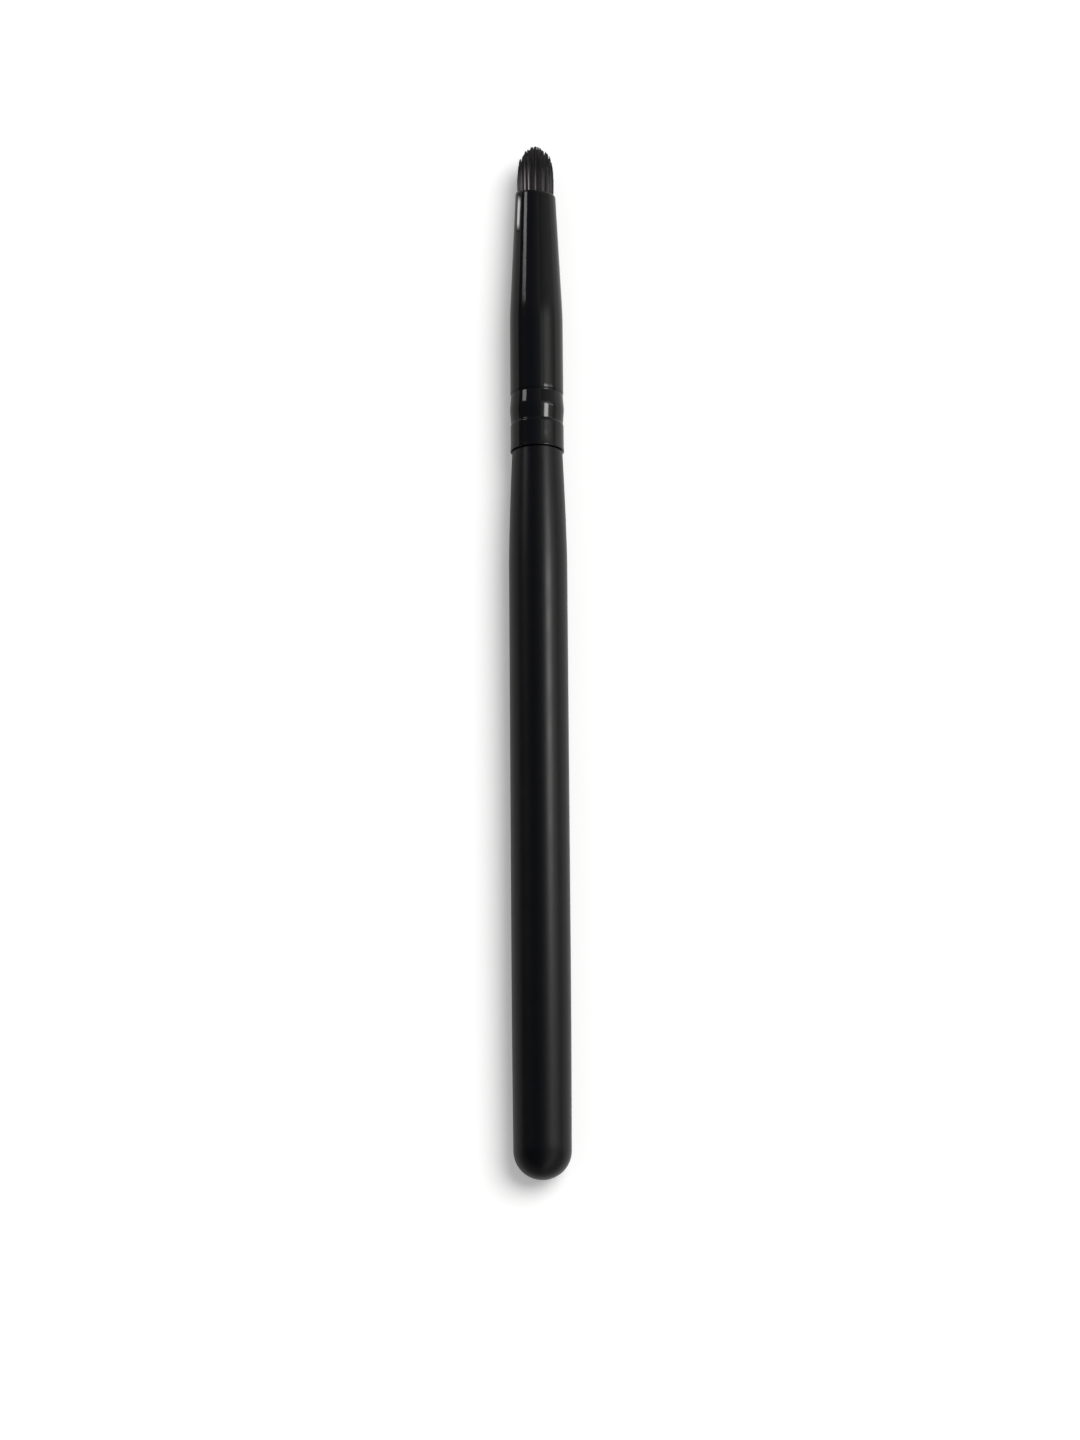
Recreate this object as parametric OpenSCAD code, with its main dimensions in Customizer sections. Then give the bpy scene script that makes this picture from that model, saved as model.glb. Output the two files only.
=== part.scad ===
// Lip brush: a turned wooden handle, a drawn metal ferrule crimped onto it, and a domed
// tuft of bristles held in the ferrule by a plug of glue.
// The brush lies on its handle with its axis along +Y and its hair at the +Y end.

/* [Handle] */
// Length of the handle that shows behind the ferrule
handle_l = 100.4; // [80:0.2:130]
// Diameter of the long straight grip
grip_d = 7.9; // [7.4:0.1:10]
// Diameter where the grip meets its rounded end
tail_d = 7.7; // [6.4:0.1:7.9]
// Length of the tail, from the very end to the full grip
tail_l = 30; // [12:1:40]
// Length over which the grip narrows to the neck
neck_l = 16; // [8:1:30]
// Shape of the neck: 1 is a straight cone, more is rounder towards the grip
neck_curve = 1.45; // [1:0.05:2.5]
// How far the end of the neck stands out beyond the tenon
shoulder = 0.05; // [0.02:0.01:0.1]
// Length of the relief groove on each side of the ferrule's end
relief_l = 0.2; // [0.1:0.05:0.4]
// Depth of that groove below the end of the neck
relief_depth = 0.2; // [0.1:0.05:0.4]
// Depth of the tenon inside the ferrule
tenon_l = 14; // [10:1:16]
// Chamfer on the end of the tenon
tenon_chamfer = 0.5; // [0.2:0.1:1]

/* [Ferrule] */
// Length of the ferrule
ferrule_l = 37.5; // [32:0.5:45]
// Diameter of the straight part of the ferrule
ferrule_d = 7.25; // [6.9:0.05:7.4]
// Diameter of the ferrule at its mouth
mouth_d = 5.5; // [4.4:0.1:6.4]
// Length of the ferrule's taper towards its mouth
cone_l = 18; // [10:1:20]
// Length over which the taper sets in
cone_blend = 3; // [1:0.5:5]
// Thickness of the ferrule's metal
wall = 0.25; // [0.2:0.05:0.35]
// Angle by which the mouth is out of square
mouth_slant = 9; // [0:1:10]
// Turn of the mouth's lowest side, from +X towards the top
mouth_turn = 50; // [0:5:90]
// Height of the edge that is rolled in around the mouth
lip_h = 0.5; // [0.2:0.05:0.6]
// Length of the slight flare at the handle end
flare_l = 1.6; // [0.8:0.2:3]
// Rise of that flare
flare_rise = 0.04; // [0:0.01:0.1]
// Rounding of the ferrule's outer edge at the handle end
edge_r = 0.1; // [0.05:0.01:0.15]

/* [Crimp] */
// Distance from the handle end of the ferrule to the crimp
crimp_z = 3.6; // [3:0.1:5]
// Length of the crimp over both of its grooves
crimp_l = 4.8; // [3.6:0.1:5.4]
// Length of the steep wall at each end of the crimp
crimp_wall = 0.4; // [0.3:0.1:0.8]
// Depth of the two grooves
crimp_depth = 0.08; // [0.02:0.01:0.15]
// Rise of the ridge that the rolling leaves between the grooves
ridge_rise = 0.06; // [0:0.01:0.1]
// Share of the ridge's flank that its rounded top takes up
ridge_round = 0.2; // [0.1:0.05:0.5]

/* [Bristles] */
// Length of the hair that shows beyond the ferrule
hair_l = 7.1; // [5:0.1:14]
// Height of the domed end of the tuft
dome_h = 4.2; // [1.5:0.1:4.8]
// Length of the hair inside the ferrule
root_l = 9; // [5:1:12]
// Number of rings of bristle strands around the middle one
strand_rings = 7; // [4:1:9]
// Length of the pointed end of a strand
strand_point = 1.3; // [0.5:0.1:2]
// Most that a strand is shorter than the dome
ragged = 0.45; // [0:0.05:0.8]

/* [Glue] */
// Length of the glue plug behind the hair
glue_l = 5; // [2:0.5:8]
// Hollow of the plug's free face
meniscus = 0.8; // [0.2:0.1:1.5]

/* [Fits] */
// Gap for the glue film between the tenon and the ferrule
tenon_gap = 0.03; // [0.02:0.01:0.08]
// Gap between the hair and the ferrule
hair_gap = 0.02; // [0.01:0.01:0.06]

/* [Hidden] */
$fn = 96;

overall_l = handle_l + ferrule_l + hair_l;
grip_r = grip_d / 2;
tail_r = tail_d / 2;
mouth_r = mouth_d / 2;

// Heights on the ferrule are counted from its handle end, and those ending in t from the brush's tail.
cone_z = ferrule_l - cone_l;
cone_slope = (ferrule_d / 2 - mouth_r) / cone_l;
blend_start = cone_z - cone_blend / 2;
blend_end = cone_z + cone_blend / 2;
crimp_end = crimp_z + crimp_l;
mouth_z = ferrule_l - lip_h;
mouth_drop = mouth_r * sin(mouth_slant);
hair_start_t = handle_l + mouth_z - mouth_drop - 0.5;
hair_root_t = handle_l + ferrule_l - root_l;

// Radius of a strand as a share of the rings' spacing: over a half, so that neighbours merge
strand_share = 0.62;

wood_colour = [0.07, 0.07, 0.08];
metal_colour = [0.04, 0.04, 0.05];
hair_colour = [0.12, 0.1, 0.09];
glue_colour = [0.75, 0.7, 0.55];

// A share from 0 to 1, eased at both ends
function ease(u) = (1 - cos(180 * u)) / 2;

// A share from 0 to 1, with a straight flank and a rounded top
function roof(u) = let (over = max(0, u - 1 + ridge_round))
    (u - over * over / (2 * ridge_round)) / (1 - ridge_round / 2);

// How far the ferrule has narrowed at height z: a soft start, then a straight taper
function narrowing(z) =
    z < blend_start ? 0 :
    z < blend_end ? cone_slope * pow(z - blend_start, 2) / (2 * cone_blend) :
    cone_slope * (z - cone_z);

// The crimp: a groove at each end and a ridge between them
function crimp(z) = let (from_end = crimp_l / 2 - abs(z - crimp_z - crimp_l / 2))
    from_end < 0 ? 0 :
    from_end < crimp_wall ? -crimp_depth * ease(from_end / crimp_wall) :
    (crimp_depth + ridge_rise) * roof((from_end - crimp_wall) / (crimp_l / 2 - crimp_wall)) - crimp_depth;

function flare(z) = z < flare_l ? flare_rise * pow(1 - z / flare_l, 2) : 0;

// Outer radius of the ferrule at height z, the bore a wall further in, and the tenon inside the bore
function ferrule_r(z) = ferrule_d / 2 - narrowing(z) + crimp(z) + flare(z);
function bore_r(z) = ferrule_r(z) - wall;
function tenon_r(z) = bore_r(z) - tenon_gap;

function edge_cut(z) = z < edge_r ? edge_r - sqrt(edge_r * edge_r - pow(edge_r - z, 2)) : 0;

neck_r = tenon_r(0) + shoulder;
hair_r = bore_r(ferrule_l) - hair_gap;

// n heights that start at one height and stop a step short of another
function steps(from, to, n) = [for (i = [0 : n - 1]) from + (to - from) * i / n];

edge_z = [for (a = [0 : 15 : 75]) edge_r * (1 - cos(a))];
crimped_z = concat(
    steps(edge_r, flare_l, 6),
    [flare_l],
    steps(crimp_z, crimp_z + crimp_wall, 4),
    steps(crimp_z + crimp_wall, crimp_end - crimp_wall, 20),
    steps(crimp_end - crimp_wall, crimp_end, 4),
    [crimp_end]
);
blend_z = concat(steps(blend_start, blend_end, 10), [blend_end]);
tube_z = concat(edge_z, crimped_z, blend_z, [ferrule_l + 1]);

// Lays a piece that was drawn along +Z on the table, with its axis along +Y
module lay_down() {
    translate([0, -overall_l / 2, grip_r]) rotate([-90, 0, 0]) children();
}

module handle() {
    round_end = [for (a = [0 : 7.5 : 82.5]) [tail_r * sin(a), tail_r * (1 - cos(a))]];
    tail = [for (i = [0 : 12])
        [tail_r + (grip_r - tail_r) * sin(90 * i / 12), tail_r + (tail_l - tail_r) * i / 12]];
    neck_end = handle_l - relief_l;
    neck = [for (i = [0 : 16])
        [grip_r - (grip_r - neck_r) * pow(i / 16, neck_curve), neck_end - neck_l * (1 - i / 16)]];
    relief = [[neck_r - relief_depth, neck_end], [neck_r - relief_depth, handle_l + relief_l]];
    chamfer_z = tenon_l - tenon_chamfer;
    tenon_z = concat([relief_l], [for (z = crimped_z) if (z > relief_l && z < chamfer_z) z], [chamfer_z]);
    tenon = [for (z = tenon_z) [tenon_r(z), handle_l + z]];
    tenon_end = [[tenon_r(tenon_l) - tenon_chamfer, handle_l + tenon_l], [0, handle_l + tenon_l]];
    color(wood_colour) rotate_extrude() polygon(concat(round_end, tail, neck, relief, tenon, tenon_end));
}

module ferrule_tube() {
    outside = [for (z = tube_z) [ferrule_r(z) - edge_cut(z), z]];
    inside = [for (i = [len(tube_z) - 1 : -1 : 0]) [bore_r(tube_z[i]), tube_z[i]]];
    rotate_extrude() polygon(concat(outside, inside));
}

// A solid with a round shoulder on top, square to the slanted mouth, that the tube is cut to
module mouth_form() {
    foot_r = ferrule_r(mouth_z - mouth_drop) / cos(mouth_slant) + 0.01;
    top_r = bore_r(mouth_z) - mouth_drop * sin(mouth_slant) - 0.05;
    reach = 2 * ferrule_l;
    below = [[0, -reach], [reach, -reach], [reach, 0]];
    arc = [for (a = [0 : 10 : 90]) [top_r + (foot_r - top_r) * cos(a), lip_h * sin(a)]];
    translate([0, 0, mouth_z]) rotate([0, 0, -mouth_turn]) rotate([0, mouth_slant, 0])
        rotate_extrude() polygon(concat(below, arc, [[0, lip_h]]));
}

module ferrule() {
    color(metal_colour) translate([0, 0, handle_l]) intersection() {
        ferrule_tube();
        mouth_form();
    }
}

// One strand of hair: an even shaft that runs out in a point
module strand(x, y, tip_t, r) {
    translate([x, y, 0]) hull() {
        translate([0, 0, hair_start_t]) cylinder(h = tip_t - strand_point - hair_start_t, r = r, $fn = 6);
        translate([0, 0, tip_t - r / 4]) cylinder(h = r / 4, r = r / 5, $fn = 6);
    }
}

module bristle_tuft() {
    pitch = hair_r / (strand_rings + strand_share);
    root_top_t = hair_start_t + 0.4;
    color(hair_colour) {
        translate([0, 0, hair_root_t]) cylinder(
            h = root_top_t - hair_root_t,
            r1 = bore_r(hair_root_t - handle_l) - hair_gap,
            r2 = bore_r(root_top_t - handle_l) - hair_gap
        );
        for (ring = [0 : strand_rings]) {
            count = max(1, 6 * ring);
            shorter = rands(0, ragged, count, 11 + ring);
            for (i = [0 : count - 1]) {
                a = 360 * i / count + 17 * ring;
                rho = ring * pitch;
                dome = dome_h * (1 - sqrt(1 - pow(rho / hair_r, 2)));
                tip_t = overall_l - dome - (ring == 0 ? 0 : shorter[i]);
                strand(rho * cos(a), rho * sin(a), tip_t, strand_share * pitch);
            }
        }
    }
}

module glue_plug() {
    top = ferrule_l - root_l;
    bottom = top - glue_l;
    side_z = concat([bottom], [for (z = blend_z) if (z > bottom && z < top) z], [top]);
    side = [for (z = side_z) [bore_r(z), z]];
    hollow = [for (i = [0 : 7]) [bore_r(bottom) * i / 8, bottom + meniscus * (1 - pow(i / 8, 2))]];
    color(glue_colour) translate([0, 0, handle_l])
        rotate_extrude() polygon(concat(hollow, side, [[0, top]]));
}

lay_down() handle();
lay_down() ferrule();
lay_down() bristle_tuft();
lay_down() glue_plug();
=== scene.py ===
# Lip brush: the looks of a brush with a lacquered handle, a coated ferrule and a domed tuft of filaments.
# The brush lies on a pale floor with its axis along +Y and its hair at the +Y end. Lengths are in metres.

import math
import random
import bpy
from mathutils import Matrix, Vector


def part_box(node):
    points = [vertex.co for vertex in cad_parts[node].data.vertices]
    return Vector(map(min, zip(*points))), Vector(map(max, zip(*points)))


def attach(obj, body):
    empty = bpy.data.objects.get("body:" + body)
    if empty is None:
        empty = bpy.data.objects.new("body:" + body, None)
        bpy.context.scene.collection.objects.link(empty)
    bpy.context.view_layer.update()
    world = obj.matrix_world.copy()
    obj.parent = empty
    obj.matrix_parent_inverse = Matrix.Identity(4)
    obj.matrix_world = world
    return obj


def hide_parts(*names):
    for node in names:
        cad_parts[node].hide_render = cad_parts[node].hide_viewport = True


bl_info = {
    "name": "Lip brush",
    "version": (1, 0, 0),
    "blender": (4, 5, 0),
    "location": "3D View > Sidebar > Lip brush",
    "description": "Builds a lip brush with a crimped ferrule and a domed tuft, on a pale stage",
    "category": "Object",
}

import bpy
from bpy.props import FloatProperty, FloatVectorProperty, IntProperty, PointerProperty
from mathutils import Matrix, Vector

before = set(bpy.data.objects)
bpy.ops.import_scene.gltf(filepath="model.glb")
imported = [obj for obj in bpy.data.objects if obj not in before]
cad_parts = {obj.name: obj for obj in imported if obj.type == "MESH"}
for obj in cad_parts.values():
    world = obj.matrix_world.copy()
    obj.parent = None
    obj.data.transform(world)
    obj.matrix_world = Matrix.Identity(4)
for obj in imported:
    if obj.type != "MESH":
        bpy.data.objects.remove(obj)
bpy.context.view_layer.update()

MM = 0.001

# Places that come from the frame
HANDLE_LOW, HANDLE_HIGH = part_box("handle")
FERRULE_LOW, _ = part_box("ferrule")
TUFT_LOW, TUFT_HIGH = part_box("bristle_tuft")
AXIS_Z = (HANDLE_LOW.z + HANDLE_HIGH.z) / 2
TAIL_Y = HANDLE_LOW.y
TENON_END_Y = HANDLE_HIGH.y
RIM_Y = FERRULE_LOW.y
HAIR_ROOT_Y = TUFT_LOW.y
TIP_Y = TUFT_HIGH.y
GRIP_DIAMETER = HANDLE_HIGH.x - HANDLE_LOW.x

# How finely the turned pieces are divided: around, over quarter turns, and along the axis
AROUND = 128
ROUND_END_STEPS = 24
RIM_EDGE_STEPS = 6
LIP_STEPS = 10
FINE_STEP = 0.05 * MM
BLEND_STEP = 0.3 * MM
NECK_STEP = 0.4 * MM
TAIL_STEP = 0.8 * MM
STRAIGHT_STEP = 1.0 * MM
GRIP_STEP = 4 * MM

# The stretch of the ferrule over which the slant of its mouth sets in
SLANT_RUN = 6 * MM

# Angles in degrees above which an edge stays sharp
CREASE = 40
FILAMENT_CREASE = 80

# Clumps and filaments stand in a sunflower pattern, each turned about the axis by chance, in radians.
# A clump's turn is given at the tuft's rim and grows inwards, down to a core with this share of the radius.
TUFT_SEED = 31
GOLDEN_ANGLE = math.pi * (3 - math.sqrt(5))
CLUMP_TURN = 0.25
CLUMP_CORE = 0.2
FILAMENT_TURN = 0.02

# The dome's apex across, as a share of the tuft's radius, how much less distance counts on its fuller side,
# and how far a filament's height follows its own place and its clump's
APEX_SHIFT = 0.035
FULL_SIDE = 0.94
OWN_LEVEL = 0.7
CLUMP_LEVEL = 0.3

# How tips fall short of the dome: by clump, less near the apex, by their place in the clump, and by chance
SHORT_POWER = 1.6
RAGGED_RATE = 3
CLUMP_ROUNDING = 0.12 * MM
FILAMENT_SHORT = 0.1 * MM

# How tips leave the straight line: lean of clumps and filaments, and a wave with its rates per millimetre
CLUMP_LEAN = 0.05 * MM
FILAMENT_LEAN = 0.012 * MM
WAVE = 0.02 * MM
WAVE_RATES = (1.3, 1.1)

# The few strays among the outer filaments, and how far they lean out, in millimetres
STRAY_SHARE = 0.03
STRAY_OUT = (0.08, 0.25)

# The most that a clump, a common filament or one of the few paler ones adds, as a share of the light hair
CLUMP_TONE = 0.06
FILAMENT_TONE = 0.05
PALE_TONE = 0.22
PALE_SHARE = 0.06

# Painted highlights: lighter strands painted into the tone of the outer filaments on the upper face of the
# tuft, in place of the hair's gloss: place across as a share of its radius, half width, tone
PAINTED_HIGHLIGHT_STRANDS = (
    (-0.84, 0.14, 0.42),
    (-0.57, 0.055, 0.9),
    (-0.37, 0.04, 1.0),
    (0.02, 0.04, 0.32),
    (0.41, 0.03, 0.2),
    (0.78, 0.1, 0.1),
)

# The share of its painted highlight tone that each filament of such a strand takes, at least and at most
PAINTED_STRAND_RANGE = (0.55, 1.0)

# How tones, painted highlight strands among them, fade along the free hair, and how its tips grow paler:
# from, to, and the values there
TONE_AND_HIGHLIGHT_FADING = (0.05, 0.58, 1, 0.08)
TIP_PALING = (0.45, 1, 0, 0.05)

# Filaments beyond this share of the radius are the outer ones, whose tubes have more sides and steps
OUTER_SHARE = 0.8
OUTER_TUBE = (5, 7)
INNER_TUBE = (4, 3)

# The bundle's gap to the metal, where the steps of a tube begin in it, and how a tube narrows to its point
CLEARANCE = 0.02 * MM
BASE_DEPTH = 0.8 * MM
STEP_POWER = 0.8
TAPER_L = 1.6 * MM
POINT_L = 0.12 * MM
TIP_WIDTH = 0.35

# The photograph's height in pixels, and the camera: its sensor's long side in millimetres, and its clipping
IMAGE_HEIGHT = 1440
SENSOR = 36.0
CLIP_START = 0.01
CLIP_END = 100

# The studio as gloss shows it: colours by the angle in degrees from straight up, positive towards +X
STUDIO_LEVELS = (
    (-90, (0.12, 0.12, 0.12)),
    (-70, (0.1, 0.1, 0.1)),
    (-58, (0.12, 0.125, 0.15)),
    (-18, (0.105, 0.12, 0.16)),
    (4, (0.22, 0.225, 0.27)),
    (15, (0.32, 0.32, 0.32)),
    (19, (0.7, 0.69, 0.66)),
    (30, (0.75, 0.73, 0.7)),
    (40, (1.3, 1.27, 1.22)),
    (52, (1.4, 1.37, 1.32)),
    (66, (0.72, 0.71, 0.68)),
    (80, (0.42, 0.41, 0.39)),
    (90, (0.42, 0.41, 0.39)),
)

# The same beyond the far end of the wall
FAR_LEVELS = (
    (-90, (0.12, 0.12, 0.12)),
    (-70, (0.1, 0.1, 0.1)),
    (-58, (0.13, 0.135, 0.15)),
    (-18, (0.14, 0.15, 0.18)),
    (4, (0.25, 0.255, 0.28)),
    (15, (0.4, 0.4, 0.39)),
    (21, (0.26, 0.26, 0.25)),
    (41, (0.4, 0.4, 0.38)),
    (66, (0.52, 0.52, 0.5)),
    (90, (0.6, 0.6, 0.58)),
)

# Where that studio changes, in degrees: the wall's far end, the pale horizon, and the dimmer handle's side
WALL_END = (20, 25)
HORIZON_BAND = (1, 4)
HORIZON_LEVEL = 0.7
TAIL_FADE = (4, 14)
TAIL_LEVEL = 0.72

# Where the floor's share in gloss changes, as painted shade that gloss shows darker towards -X and beyond
# the tail: half the width from side to side, and the stretch beyond the tail
FLOOR_TURN = 6 * MM
FLOOR_FADE = 12 * MM
FLOOR_TAIL_SHARE = 0.45

# The broad light: its softness, and its angles across and along the brush from straight up, in degrees
KEY_SOFTNESS = 40
KEY_ANGLES = (25, 15)

# Glowing cards that gloss alone shows: where they aim, their angles from straight up and their half sizes as
# seen from there in degrees, the share of them that is a soft edge, their radiance and their tint
CARDS = {
    "right_card": {
        "aim": (0, 6 * MM, AXIS_Z),
        "across": 40,
        "along": 15.5,
        "distance": 0.33,
        "half_size": (10.5, 7),
        "softness": 0.4,
        "radiance": 12.3,
        "tint": (1, 0.99, 0.97),
    },
    "right_fill": {
        "aim": (0, 6 * MM, AXIS_Z),
        "across": 60,
        "along": 16,
        "distance": 2,
        "half_size": (16, 2.6),
        "softness": 0.6,
        "radiance": 3.6,
        "tint": (0.96, 0.98, 1),
    },
    "left_card": {
        "aim": (0, RIM_Y + 35 * MM, AXIS_Z),
        "across": -58,
        "along": 30.1,
        "distance": 2,
        "half_size": (9, 6),
        "softness": 0.27,
        "radiance": 5.2,
        "tint": (0.97, 0.95, 1),
    },
    "low_card": {
        "aim": (-2.4 * MM, RIM_Y + 34.3 * MM, AXIS_Z + 1.4 * MM),
        "across": -105.5,
        "along": 24,
        "distance": 8 * MM,
        "half_size": (15.5, 18),
        "softness": 0.5,
        "radiance": 8,
        "tint": (1, 0.95, 0.97),
    },
}

# Cells in which the nodes of a shader are laid out, to the left of the shader
GRID_LEFT = -1800
GRID_CELL = 240
GRID_ROWS = 3


# Sizes and colours


def length(name, description, default, low, high):
    """A length that the user can change, in metres."""
    return FloatProperty(
        name=name,
        description=description,
        default=default,
        min=low,
        max=high,
        unit="LENGTH",
        subtype="DISTANCE",
        precision=5,
    )


def factor(name, description, default, high=1.0):
    """A plain number from 0 up."""
    return FloatProperty(name=name, description=description, default=default, min=0, max=high)


def amount(name, description, default, low, high):
    """A whole number."""
    return IntProperty(name=name, description=description, default=default, min=low, max=high)


def turn(name, description, degrees):
    """An angle, given in degrees and kept in radians."""
    return FloatProperty(
        name=name, description=description, default=math.radians(degrees), unit="ROTATION", subtype="ANGLE"
    )


def colour(name, description, default):
    """A colour in linear light."""
    return FloatVectorProperty(
        name=name, description=description, default=default, size=3, min=0, max=1, subtype="COLOR"
    )


class HandleSettings(bpy.types.PropertyGroup):
    """Sizes and finish of the turned handle"""

    grip_d: length("Grip diameter", "Diameter of the long straight grip", GRIP_DIAMETER, 4 * MM, 12 * MM)
    tail_d: length("Tail diameter", "Diameter where the round end begins", 7.7 * MM, 4 * MM, 12 * MM)
    tail_l: length("Tail length", "Length from the very end to the full grip", 30 * MM, 8 * MM, 60 * MM)
    neck_l: length("Neck length", "Length over which the grip narrows", 16 * MM, 4 * MM, 40 * MM)
    neck_curve: factor("Neck curve", "1 is a straight cone, more is rounder towards the grip", 1.45, 3.0)
    shoulder: length("Shoulder", "How far the end of the neck stands out", 0.05 * MM, 0, 1 * MM)
    relief_l: length("Relief length", "Groove on each side of the ferrule end", 0.2 * MM, 0, 1 * MM)
    relief_depth: length("Relief depth", "Depth of that groove", 0.2 * MM, 0, 1 * MM)
    tenon_gap: length("Tenon gap", "Glue film around the tenon", 0.03 * MM, 0, 0.2 * MM)
    tenon_chamfer: length("Tenon chamfer", "Chamfer on the end of the tenon", 0.5 * MM, 0.1 * MM, 1 * MM)
    lacquer: colour("Lacquer", "Colour of the matte lacquer", (0.0012, 0.0012, 0.0016))
    roughness: factor("Roughness", "How matte the lacquer is", 0.31)


class FerruleSettings(bpy.types.PropertyGroup):
    """Sizes and finish of the drawn and crimped ferrule"""

    long: length("Length", "Length of the ferrule along its axis", 37.5 * MM, 20 * MM, 60 * MM)
    straight_d: length("Diameter", "Diameter of the straight stretch", 7.25 * MM, 4 * MM, 12 * MM)
    mouth_d: length("Mouth diameter", "Diameter at the mouth", 5.5 * MM, 3 * MM, 12 * MM)
    cone_l: length("Taper length", "Length of the taper to the mouth", 18 * MM, 5 * MM, 30 * MM)
    cone_blend: length("Taper blend", "Length over which the taper sets in", 3 * MM, 0.5 * MM, 8 * MM)
    wall: length("Wall", "Thickness of the metal", 0.25 * MM, 0.1 * MM, 1 * MM)
    slant: turn("Mouth slant", "Angle by which the mouth is out of square", 9)
    slant_turn: turn("Slant turn", "Turn of the mouth's lowest side, from +X towards the top", 50)
    lip_h: length("Lip height", "Height of the rolled edge of the mouth", 0.5 * MM, 0.1 * MM, 1 * MM)
    flare_l: length("Flare length", "Length of the flare at the handle end", 1.6 * MM, 0.5 * MM, 4 * MM)
    flare_rise: length("Flare rise", "Rise of that flare", 0.04 * MM, 0, 0.3 * MM)
    edge_r: length("Edge radius", "Rounding of the handle end", 0.1 * MM, 0.02 * MM, 0.3 * MM)
    crimp_at: length("Crimp start", "Distance from the handle end to the crimp", 3.6 * MM, 1 * MM, 10 * MM)
    crimp_l: length("Crimp length", "Length over both grooves", 4.8 * MM, 2 * MM, 8 * MM)
    crimp_wall: length("Crimp wall", "Length of the steep end walls", 0.4 * MM, 0.1 * MM, 1 * MM)
    crimp_depth: length("Crimp depth", "Depth of the two grooves", 0.08 * MM, 0, 0.3 * MM)
    ridge_rise: length("Ridge rise", "Rise of the ridge between the grooves", 0.06 * MM, 0, 0.3 * MM)
    ridge_round: factor("Ridge rounding", "Share of the ridge's flank that its top takes up", 0.2)
    coat: colour("Coat", "Colour of the gloss coat", (0.0018, 0.0018, 0.0022))
    roughness: factor("Roughness", "How dull the gloss coat is", 0.085)


class TuftSettings(bpy.types.PropertyGroup):
    """Sizes and finish of the tuft"""

    filaments: amount("Filaments", "Number of filaments", 2500, 100, 4000)
    clumps: amount("Clumps", "Number of clumps that the tips gather in", 140, 10, 600)
    filament_d: length("Filament diameter", "Diameter of one filament", 0.1 * MM, 0.03 * MM, 0.3 * MM)
    dome_h: length("Dome height", "Height of the domed end", 4.2 * MM, 0.5 * MM, 8 * MM)
    swell: factor("Swell", "How much the tuft is wider halfway up, as a share", 0.02, 0.2)
    gather_l: length("Gather length", "Length over which tips draw together", 2.0 * MM, 0.2 * MM, 5 * MM)
    gather: factor("Gather", "How far tips draw together, as a share", 0.5)
    ragged: length("Raggedness", "Most that a clump is short of the dome", 0.4 * MM, 0, 1.5 * MM)
    dark: colour("Dark hair", "Colour of most filaments", (0.0095, 0.0088, 0.0092))
    # Also the colour of the painted highlight strands on the hair
    light: colour("Light hair", "Colour of the lightest filaments", (0.57, 0.515, 0.51))
    roughness: factor("Roughness", "How dull the hair is", 0.42)


class ResinSettings(bpy.types.PropertyGroup):
    """Finish of the resin plug behind the hair"""

    resin: colour("Resin", "Colour of the set resin", (0.42, 0.28, 0.11))
    roughness: factor("Roughness", "How dull the resin is", 0.22)


class StageSettings(bpy.types.PropertyGroup):
    """Camera, floor and lights"""

    distance: length("Camera distance", "From the camera to the point it looks at", 0.7, 0.1, 5)
    tilt: turn("Camera tilt", "Angle of the camera's axis from straight down", 15.5)
    roll: turn("Camera roll", "Turn of the camera about its own axis", -0.434)
    aim_x: length("Aim sideways", "Sideways place of the point looked at", 0.09 * MM, -0.1, 0.1)
    aim_y: length("Aim along", "Place of the point looked at along the brush", -9.96 * MM, -0.2, 0.2)
    focal_px: factor("Focal length", "Focal length in pixels of the photograph", 5211.2, 20000)
    floor_size: length("Floor size", "Side of the square floor", 24.0, 1, 100)
    floor: colour("Floor", "Colour of the floor", (0.9, 0.9, 0.895))
    floor_lift: factor("Floor lift", "Light that the floor adds where it is seen", 0.24)
    gloss_left: factor("Floor in gloss, -X", "Share of the floor's light that gloss shows there", 0.45)
    gloss_right: factor("Floor in gloss, +X", "Share of the floor's light that gloss shows there", 0.7)
    ambient: factor("Ambient", "Strength of the even light from all round", 0.3)
    key: factor("Key light", "Strength of the broad light that casts the shadow", 2.2, 20.0)


# Mesh building


def spread(start, end, step):
    """Evenly spaced values from start up to but not including end, about a step apart."""
    count = max(1, round((end - start) / step))
    return [start + (end - start) * i / count for i in range(count)]


def turns(count):
    """Angles of a number of points around a circle."""
    return [math.tau * i / count for i in range(count)]


def quarter(steps):
    """Angles over a quarter turn, in a number of steps."""
    return [math.pi / 2 * i / steps for i in range(steps + 1)]


def ring(y, radius, count=AROUND, x=0, z=0):
    """The points of a circle about the brush's axis, or about a line beside it."""
    return [(x + radius * math.cos(a), y, AXIS_Z + z + radius * math.sin(a)) for a in turns(count)]


def skin(rings, first_pole=None, last_pole=None, closed=False):
    """Points and faces of a surface through rings of equal count, ended by points or closed on itself."""
    points = [p for one in rings for p in one]
    count = len(rings[0])
    faces = []
    pairs = [(i, i + 1) for i in range(len(rings) - 1)]
    if closed:
        pairs.append((len(rings) - 1, 0))
    for a, b in pairs:
        for i in range(count):
            j = (i + 1) % count
            faces.append((a * count + i, b * count + i, b * count + j, a * count + j))
    if first_pole:
        points.append(first_pole)
        pole = len(points) - 1
        faces += [(pole, i, (i + 1) % count) for i in range(count)]
    if last_pole:
        points.append(last_pole)
        pole = len(points) - 1
        base = (len(rings) - 1) * count
        faces += [(pole, base + (i + 1) % count, base + i) for i in range(count)]
    return points, faces


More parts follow.
